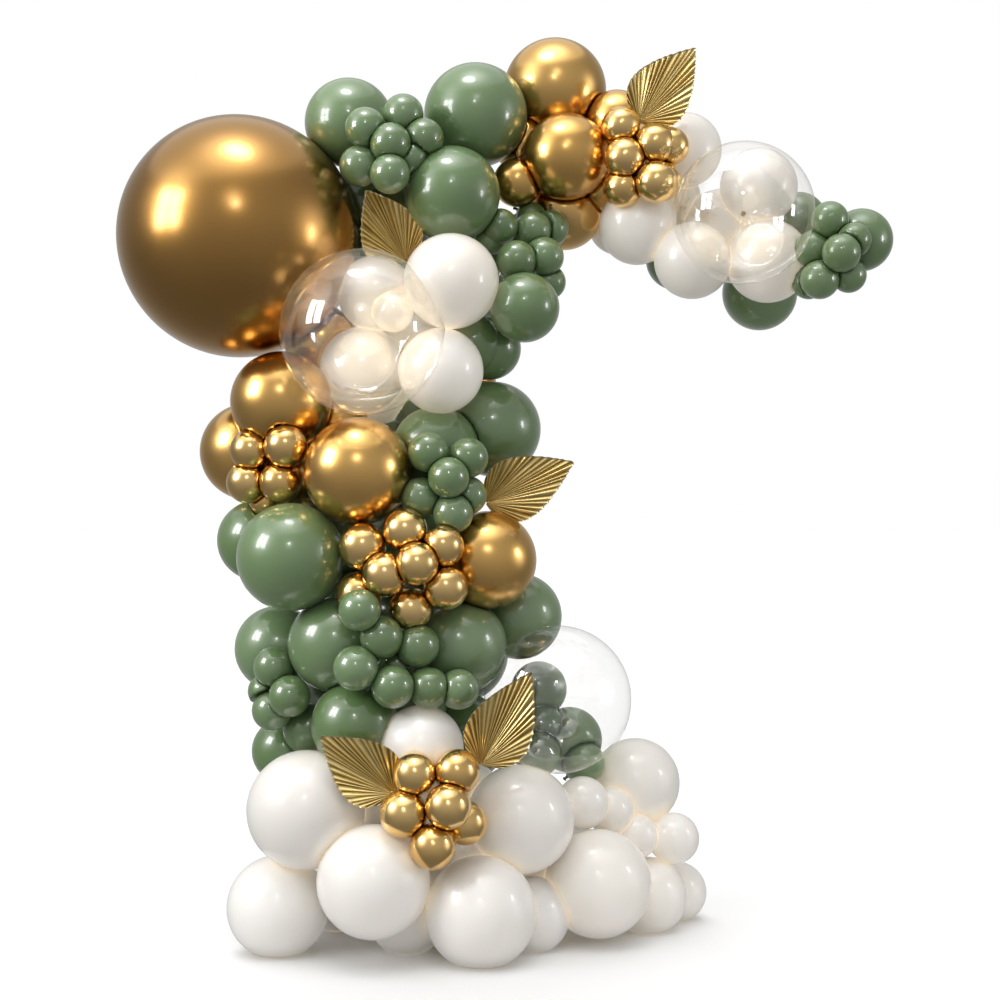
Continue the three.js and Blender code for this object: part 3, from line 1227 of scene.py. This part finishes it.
@dataclass
class LowerColumn(Stretch):
    """The lower half of the column."""

    groups: tuple[Group, ...] = (
        gold(
            "gold_left_group",
            (-583, -10, 1395, 262), (-690, 150, 1270, 260), (-450, 110, 1360, 170),
            (-530, 70, 1215, 200),
        ),
        gold("gold_behind_clear", (-490, 120, 1560, 200)),
        gold("gold_centre", (-375, -120, 1213, 275)),
        gold(
            "gold_cluster_left",
            (-560, -100, 1277, 112), (-656, -55, 1268, 108), (-665, -45, 1186, 110),
            (-577, -72, 1186, 110),
            tucked=((-622, -10, 1140, 90), (-618, 10, 1226, 100)),
        ),
        gold("gold_right", (-47, -60, 986, 252)),
        gold(
            "gold_cluster_middle",
            (-252, -190, 1065, 112), (-358, -180, 1024, 120), (-157, -200, 1025, 106),
            (-220, -235, 983, 108), (-300, -220, 956, 112), (-150, -195, 922, 112),
            (-238, -180, 868, 110), (-368, -165, 903, 118),
        ),
        sage("sage_left_pair", (-545, -120, 996, 274), (-652, 50, 1034, 212)),
        sage("sage_low_left", (-600, 50, 750, 224), tone=1.0),
        sage("sage_low_centre", (-435, -90, 772, 242)),
        sage("sage_low_right_pair", (-120, -50, 765, 246), (35, 90, 832, 228), tone=1.0),
        sage("sage_low_front", (-380, -140, 573, 222)),
        sage("sage_low_small_pair", (-510, -30, 549, 132), (-582, 55, 481, 172)),
        sage(
            "sage_cluster_low",
            (-370, -240, 726, 112), (-308, -215, 800, 108), (-220, -190, 777, 108),
            (-280, -230, 679, 108), (-192, -200, 673, 104), (-118, -185, 668, 102),
            (-360, -250, 870, 104),
            tucked=((-274, -150, 727, 90),),
        ),
        sage(
            "sage_cluster_low_left",
            (-592, -90, 715, 103), (-546, -135, 645, 106), (-597, -80, 603, 104),
            tucked=((-616, -60, 650, 92),),
        ),
        clear("low_clear", (132, -70, 630, 378), neck=(0.03, 1.0, -0.11)),
        sage(
            "sage_behind_clear",
            (90, 170, 630, 150), (172, 165, 494, 176), (94, 130, 535, 122), (85, 75, 468, 120),
            (209, 110, 440, 112),
            tone=1.0,
        ),
        sage(
            "sage_back_lower",
            (-265, 286, 1250, 290), (-445, 240, 1080, 280), (-215, 265, 970, 290),
            (-415, 260, 820, 280), (-130, 255, 720, 275), (-420, 190, 590, 270),
            (-125, 150, 500, 252), (-235, 150, 1385, 150), (-255, 60, 600, 200),
        ),
    )


@dataclass
class Base(Stretch):
    """The bank of white balloons on the floor, with a gold cluster on its front."""

    groups: tuple[Group, ...] = (
        # The lift of these white balloons is painted glow.
        white("base_white_upper", (-212, -170, 521, 212), lift=0.3),
        gold(
            "gold_cluster_base",
            (-222, -300, 475, 108), (-120, -295, 479, 112), (-248, -310, 380, 118),
            (-140, -335, 402, 113), (-177, -325, 304, 113), (-100, -255, 348, 110),
        ),
        white("base_white_left_pair", (-500, -170, 365, 297), (-340, -60, 395, 230)),
        white("base_white_left_floor", (-575, -130, 113, 258), lift=0.2),
        white("base_white_front_left", (-325, -260, 205, 279), tone=0.3, lift=0.1),
        white("base_white_front", (-63, -225, 121, 278), tone=0.2),
        white(
            "base_white_middle_pair",
            (36, -110, 330, 276), (-140, 10, 345, 270),
            lift=0.2,
            tucked=((-75, -105, 245, 150),),
        ),
        white("base_white_front_right", (238, -40, 152, 277), lift=0.4),
        white(
            "base_white_right_group",
            (352, 185, 376, 238), (200, 10, 351, 138), (276, 75, 318, 126), (345, 85, 249, 118),
            (448, 115, 238, 136),
            lift=0.5,
        ),
        white("base_white_right_floor", (380, 100, 88, 204), (467, 225, 71, 162), lift=0.4),
        white(
            "base_white_back",
            (-250, -115, 85, 198), (-450, 145, 122, 290), (-215, 75, 122, 290), (30, 75, 118, 275),
            (180, 270, 112, 260), (65, -95, 83, 196),
        ),
    )


# ---------------------------------------------------------------- the leaves


@dataclass
class PaperLeaf:
    """A leaf of pleated foil paper: pleats fan out from its stem to a toothed margin."""

    node: str
    stem: tuple[float, float, float]
    tip: tuple[float, float, float]
    tilt: float
    width: float = 168.0
    pleats: int = 32
    depth: float = 4.2
    thickness: float = 0.9
    cup: float = 9.0
    curl: float = 7.0

    def margin(self, share: np.ndarray, length: float) -> tuple[np.ndarray, np.ndarray]:
        """The leaf's outline, from one lobe round the tip to the other.

        Half width = w/2 · sin(π · s^0.62)^0.9 at the share s of the length.

        Args:
            share: Position round the outline, 0 and 1 at the stem and 0.5 at the tip.
            length: Stem to tip, in millimetres.

        Returns:
            The distances along the leaf and across it.
        """
        s = np.linspace(0, 1, 600)
        along = s * length
        across = self.width / 2 * np.sin(math.pi * s**0.62) ** 0.9
        step = np.hypot(np.diff(along), np.diff(across))
        travelled = np.concatenate([[0], np.cumsum(step)])
        travelled /= travelled[-1]
        place = 1 - np.abs(2 * share - 1)
        start = 0.03
        place = start + (1 - start) * place
        sign = np.where(share < 0.5, -1.0, 1.0)
        return np.interp(place, travelled, along), sign * np.interp(place, travelled, across)

    def surface(self) -> Sheet:
        """The leaf's two faces and the rim between them.

        A point is stem + t × margin(q). The pleats lift it by depth × zigzag(q) × t, the
        sides cup forward by cup × (across / half width)², and the tip curls back.

        Returns:
            The leaf as one closed sheet.
        """
        stem, tip = np.array(self.stem, float), np.array(self.tip, float)
        length = float(np.linalg.norm(tip - stem))
        along_way = (tip - stem) / length
        face_way = np.array([0.0, -1.0, 0.0])
        face_way -= along_way * (face_way @ along_way)
        face_way /= np.linalg.norm(face_way)
        side_way = np.cross(along_way, face_way)
        lean = math.radians(self.tilt)
        face_way, side_way = (
            face_way * math.cos(lean) + side_way * math.sin(lean),
            side_way * math.cos(lean) - face_way * math.sin(lean),
        )
        columns, rows = self.pleats * 8 + 1, 26
        q = np.linspace(0, 1, columns)
        t = np.linspace(0.02, 1, rows)
        uneven = q + 0.0045 * np.sin(q * 47 + self.stem[0]) + 0.003 * np.sin(q * 101)
        phase = (uneven * self.pleats) % 1.0
        bold = 0.72 + 0.42 * np.sin(np.floor(uneven * self.pleats) * 12.99 + self.stem[2]) ** 2
        zigzag = (1 - 4 * np.abs(phase - 0.5)) * bold
        along, across = self.margin(q, length)
        tooth = 1 - 0.016 * (1 - zigzag) / 2
        t2, q2 = np.meshgrid(t, q, indexing="ij")
        teeth = 1 + (tooth[None, :] - 1) * t2**6
        a = along[None, :] * t2 * teeth
        b = across[None, :] * t2 * teeth
        share = b / (self.width / 2)
        flutter = 1.2 * np.sin(q2 * 9 + t2 * 3)
        lift = self.depth * zigzag[None, :] * t2**0.75 * (1 - 0.35 * t2**5)
        lift = lift + self.cup * share**2 - self.curl * (a / length) ** 2 + flutter * t2
        middle = stem + a[..., None] * along_way + b[..., None] * side_way
        middle = middle + lift[..., None] * face_way
        half = self.thickness / 2 * face_way
        front, back = (middle + half) * MM, (middle - half) * MM
        count = rows * columns
        number = np.arange(count).reshape(rows, columns)
        face = np.stack([number[:-1, :-1], number[1:, :-1], number[1:, 1:], number[:-1, 1:]], -1)
        face = face.reshape(-1, 4)
        sides = [number[0, :], number[1:, -1], number[-1, -2::-1], number[-2:0:-1, 0]]
        loop = np.concatenate(sides)
        after = np.roll(loop, -1)
        wall = np.stack([loop, after, after + count, loop + count], -1)
        quads = np.concatenate([face[:, ::-1], face + count, wall])
        points = np.concatenate([front.reshape(-1, 3), back.reshape(-1, 3)])
        # pleat: 1 on the pleats' ridges and 0 down in the valleys, which take painted shade.
        facing = np.clip((zigzag + 1) / 2, 0, 1) ** 0.8
        pleat = np.broadcast_to(facing, (rows, columns)).ravel()
        rim = np.clip((t2 - 0.965) / 0.035, 0, 1).ravel()
        lie = np.stack([q2 * 150, t2 * 5, q2 * 0 + self.stem[0] * 0.1], -1).reshape(-1, 3)
        values = {
            "pleat": np.concatenate([pleat, 1 - pleat]),
            "rim": np.concatenate([rim, rim]),
            "lie": np.concatenate([lie, lie + 40.0]),
        }
        return Sheet(points, quads, np.zeros((0, 3), int), values)

    def build(self, palette: Palette) -> bpy.types.Object:
        """Builds the leaf, ties it to its body and hides its CAD part.

        Args:
            palette: The materials.

        Returns:
            The piece.
        """
        foil = palette.by_finish[Finish.LEAF]
        piece = make_piece(f"{self.node}_paper", [self.surface()], [foil])
        return tie_to_frame(piece, self.node)


@dataclass
class Leaves:
    """The five paper leaves."""

    leaves: tuple[PaperLeaf, ...] = (
        PaperLeaf("leaf_top", (348, 25, 2130), (496, 5, 2320), 6),
        PaperLeaf("leaf_upper", (-258, 0, 1760), (-364, -20, 1945), -12),
        PaperLeaf("leaf_middle", (-52, -70, 1132), (178, -60, 1238), 10),
        PaperLeaf("leaf_low_left", (-272, -285, 425), (-453, -300, 566), -6),
        PaperLeaf("leaf_low_right", (-62, -250, 489), (64, -265, 720), 8),
    )

    def build(self, palette: Palette) -> None:
        """Builds every leaf."""
        for leaf in self.leaves:
            leaf.build(palette)


# ---------------------------------------------------------------- the garland


@dataclass
class Garland:
    """The whole garland, built stretch by stretch."""

    stretches: tuple[Stretch, ...] = field(
        default_factory=lambda: (Crest(), Arm(), UpperColumn(), LowerColumn(), Base())
    )
    leaves: Leaves = field(default_factory=Leaves)
    seed: int = 11

    def build(self) -> None:
        """Builds every balloon and leaf."""
        palette = Palette.build()
        groups = [group for stretch in self.stretches for group in stretch.groups]
        crowd = Crowd.gather(groups)
        tones = np.random.default_rng(self.seed).uniform(0.0, 0.75, len(crowd.radii))
        number = 0
        for stretch in self.stretches:
            number = stretch.build(crowd, number, palette, tones)
            LOG.info("%s built, %d balloons so far", type(stretch).__name__, number)
        self.leaves.build(palette)


# ---------------------------------------------------------------- the studio


@dataclass
class Softbox:
    """A flat lamp that faces a point."""

    name: str
    place: tuple[float, float, float]
    size: tuple[float, float]
    power: float
    aim: tuple[float, float, float] = (-0.1, 0.0, 1.2)
    round: bool = False

    def build(self) -> bpy.types.Object:
        """Adds the lamp to the scene.

        Returns:
            The lamp's object.
        """
        lamp = bpy.data.lights.new(self.name, "AREA")
        lamp.shape = "ELLIPSE" if self.round else "RECTANGLE"
        lamp.size, lamp.size_y = self.size
        lamp.energy = self.power
        thing = bpy.data.objects.new(self.name, lamp)
        bpy.context.scene.collection.objects.link(thing)
        away = np.array(self.place) - np.array(self.aim)
        thing.location = self.place
        length = float(np.linalg.norm(away))
        turn = math.atan2(away[0], -away[1])
        thing.rotation_euler = (math.acos(away[2] / length), 0.0, turn)
        return thing


@dataclass(frozen=True)
class Glow:
    """A soft bright place on the room's walls, with no hard edge."""

    way: tuple[float, float, float]
    narrowness: float
    strength: float

    def light(
        self, tree: bpy.types.NodeTree, looking: bpy.types.NodeSocket
    ) -> bpy.types.NodeSocket:
        """Adds its nodes: strength × (way · looking) to the power of narrowness.

        Args:
            tree: The room's node tree.
            looking: The direction in which the room is looked at.

        Returns:
            The extra brightness.
        """
        length = math.sqrt(sum(part * part for part in self.way))
        towards = add_node(tree, "ShaderNodeVectorMath", operation="DOT_PRODUCT")
        set_inputs(towards, {0: looking, 1: [part / length for part in self.way]})
        faced = sums(tree, "MAXIMUM", towards.outputs["Value"], 0.0)
        return sums(tree, "MULTIPLY", sums(tree, "POWER", faced, self.narrowness), self.strength)


@dataclass
class Studio:
    """A pale floor, soft lamps, a white room and the camera."""

    softboxes: tuple[Softbox, ...] = (
        Softbox("window_left_high", (-3.20, -1.94, 3.25), (0.62, 0.80), 17),
        Softbox("window_left_low", (-3.20, -1.94, 2.37), (0.62, 0.80), 17),
        Softbox("window_left_high_far", (-3.58, -1.28, 3.25), (0.62, 0.80), 17),
        Softbox("window_left_low_far", (-3.58, -1.28, 2.37), (0.62, 0.80), 17),
        Softbox("overhead", (-0.6, -0.8, 4.8), (1.1, 0.8), 21, round=True),
        Softbox("front_disc", (-0.2, -5.2, 3.9), (0.42, 0.42), 11, round=True),
        Softbox("right_strip", (3.6, -0.9, 1.9), (0.42, 0.75), 11),
    )
    walls: tuple[tuple[float, float], ...] = ((0.0, 0.20), (1.0, 0.36), (0.45, 0.20), (0.62, 0.26))
    glows: tuple[Glow, ...] = (
        Glow((-0.77, -0.38, 0.48), 20.0, 2.1),
        Glow((-0.05, -0.2, 0.97), 20.0, 3.0),
        Glow((0.55, -0.8, 0.2), 3.0, 0.20),
        Glow((0.97, -0.15, 0.13), 40.0, 1.5),
        Glow((0.05, -0.88, 0.47), 200.0, 3.0),
        Glow((-0.5, -0.8, 0.25), 3.0, 0.2),
    )

    def room(self) -> None:
        """The white room round the set: bright above and behind, greyer low and in front."""
        world = bpy.data.worlds.new("white_room")
        bpy.context.scene.world = world
        world.use_nodes = True
        tree = world.node_tree
        tree.nodes.clear()
        place = add_node(tree, "ShaderNodeTexCoord")
        parts = add_node(tree, "ShaderNodeSeparateXYZ")
        set_inputs(parts, {"Vector": place.outputs["Generated"]})
        height = sums(tree, "MULTIPLY_ADD", parts.outputs["Z"], 0.5, 0.5, clamp=True)
        ramp = add_node(tree, "ShaderNodeValToRGB")
        set_inputs(ramp, {0: height})
        for index, (place_in, grey) in enumerate(self.walls):
            stops = ramp.color_ramp.elements
            stop = stops[index] if index < 2 else stops.new(place_in)
            stop.position = place_in
            stop.color = (grey, grey, grey, 1)
        behind = sums(tree, "POWER", sums(tree, "MAXIMUM", parts.outputs["Y"], 0.0), 3.0)
        colour = mix_colours(tree, behind, ramp.outputs[0], (0.50, 0.50, 0.50))
        looking = place.outputs["Generated"]
        extra: bpy.types.NodeSocket | float = 0.0
        for glow in self.glows:
            extra = sums(tree, "ADD", glow.light(tree, looking), extra)
        lit = add_node(tree, "ShaderNodeVectorMath", operation="ADD")
        set_inputs(lit, {0: colour, 1: extra})
        soft = add_node(tree, "ShaderNodeBackground")
        set_inputs(soft, {"Color": lit.outputs[0], "Strength": 1.0})
        bright = add_node(tree, "ShaderNodeBackground")
        set_inputs(bright, {"Color": (1.0, 1.0, 1.0)})
        path = add_node(tree, "ShaderNodeLightPath")
        mixed = add_node(tree, "ShaderNodeMixShader")
        shaders = {1: soft.outputs[0], 2: bright.outputs[0]}
        set_inputs(mixed, {0: path.outputs["Is Camera Ray"], **shaders})
        set_inputs(add_node(tree, "ShaderNodeOutputWorld"), {"Surface": mixed.outputs[0]})

    def ceiling(self, name: str, power: float, width: float, lean: float) -> bpy.types.Object:
        """The even light of a wide white ceiling, which reaches the whole floor alike.

        Args:
            name: The lamp's name.
            power: Its strength, in watts per square metre.
            width: How wide it looks from the floor, in radians.
            lean: Degrees from overhead, below nought when it comes from behind the garland.

        Returns:
            The lamp's object.
        """
        lamp = bpy.data.lights.new(name, "SUN")
        lamp.energy, lamp.angle = power, width
        thing = bpy.data.objects.new(name, lamp)
        thing.rotation_euler = (math.radians(lean), math.radians(-8), 0.0)
        bpy.context.scene.collection.objects.link(thing)
        return thing

    def floor(self) -> tuple[bpy.types.Collection, bpy.types.Collection]:
        """A wide pale floor: a flat grid, z = 0 everywhere.

        Returns:
            The collection that keeps a lamp off the floor, so that its tone stays even, and
            the collection that keeps a lamp on the floor alone.
        """
        material, tree, shader = blank_material("pale_floor")
        grain = add_node(tree, "ShaderNodeTexNoise")
        place = add_node(tree, "ShaderNodeTexCoord")
        set_inputs(grain, {"Vector": place.outputs["Object"], "Scale": 3.0})
        colour = mix_colours(tree, grain.outputs[0], (0.93, 0.93, 0.93), (0.95, 0.95, 0.95))
        # Painted shade: to every ray but the camera's the floor turns dark grey from about 0.65 m
        # out, which dims its bounce light on the garland; the camera still sees it pale.
        path = add_node(tree, "ShaderNodeLightPath")
        reach = add_node(tree, "ShaderNodeVectorMath", operation="LENGTH")
        set_inputs(reach, {0: place.outputs["Object"]})
        away = sums(tree, "MULTIPLY_ADD", reach.outputs["Value"], 1.4, -0.9, clamp=True)
        unseen = sums(tree, "SUBTRACT", 1.0, path.outputs["Is Camera Ray"])
        painted_bounce_shade = sums(tree, "MULTIPLY", away, unseen)
        colour = mix_colours(tree, painted_bounce_shade, colour, (0.25, 0.25, 0.25))
        set_inputs(shader, {"Base Color": colour, "Roughness": 0.6, "Specular IOR Level": 0.1})
        half, count = 60.0, 9
        line = np.linspace(-half, half, count)
        x, y = np.meshgrid(line, line)
        points = np.stack([x.ravel(), y.ravel(), np.zeros(count * count)], -1)
        number = np.arange(count * count).reshape(count, count)
        quads = np.stack([number[:-1, :-1], number[:-1, 1:], number[1:, 1:], number[1:, :-1]], -1)
        none = np.zeros((0, 3), int)
        sheet = Sheet(points, quads.reshape(-1, 4), none, {"tone": points[:, 0] * 0})
        floor = make_piece("studio_floor", [sheet], [material])
        floor.visible_glossy = False
        names = ("all_but_floor", "floor_alone")
        apart, alone = (bpy.data.collections.new(name) for name in names)
        for collection, state in ((apart, "EXCLUDE"), (alone, "INCLUDE")):
            collection.objects.link(floor)
            collection.collection_objects[0].light_linking.link_state = state
        return apart, alone

    def camera(self) -> None:
        """A level camera 4.5 m in front, at the middle of the column's height."""
        lens = bpy.data.cameras.new("front_camera")
        lens.sensor_width = 36.0
        lens.lens = 62.3
        lens.clip_start, lens.clip_end = 0.1, 200.0
        camera = bpy.data.objects.new("front_camera", lens)
        bpy.context.scene.collection.objects.link(camera)
        camera.location = (-0.015, -4.5, 1.14)
        camera.rotation_euler = (math.pi / 2, 0.0, 0.0)
        bpy.context.scene.camera = camera

    def build(self) -> None:
        """Builds the set and lights it."""
        self.camera()
        apart, alone = self.floor()
        self.room()
        for softbox in self.softboxes:
            softbox.build().light_linking.receiver_collection = apart
        self.ceiling("white_ceiling", 0.75, 1.6, -5.0)
        self.ceiling("floor_fill", 1.0, 1.1, -25.0).light_linking.receiver_collection = alone
        bpy.context.scene.view_settings.view_transform = "Standard"
        LOG.info("studio built with %d lamps", len(self.softboxes))


def main() -> None:
    """Builds the studio and the garland."""
    logging.basicConfig(level=logging.INFO, format="%(message)s")
    Studio().build()
    Garland().build()


if __name__ == "__main__":
    main()
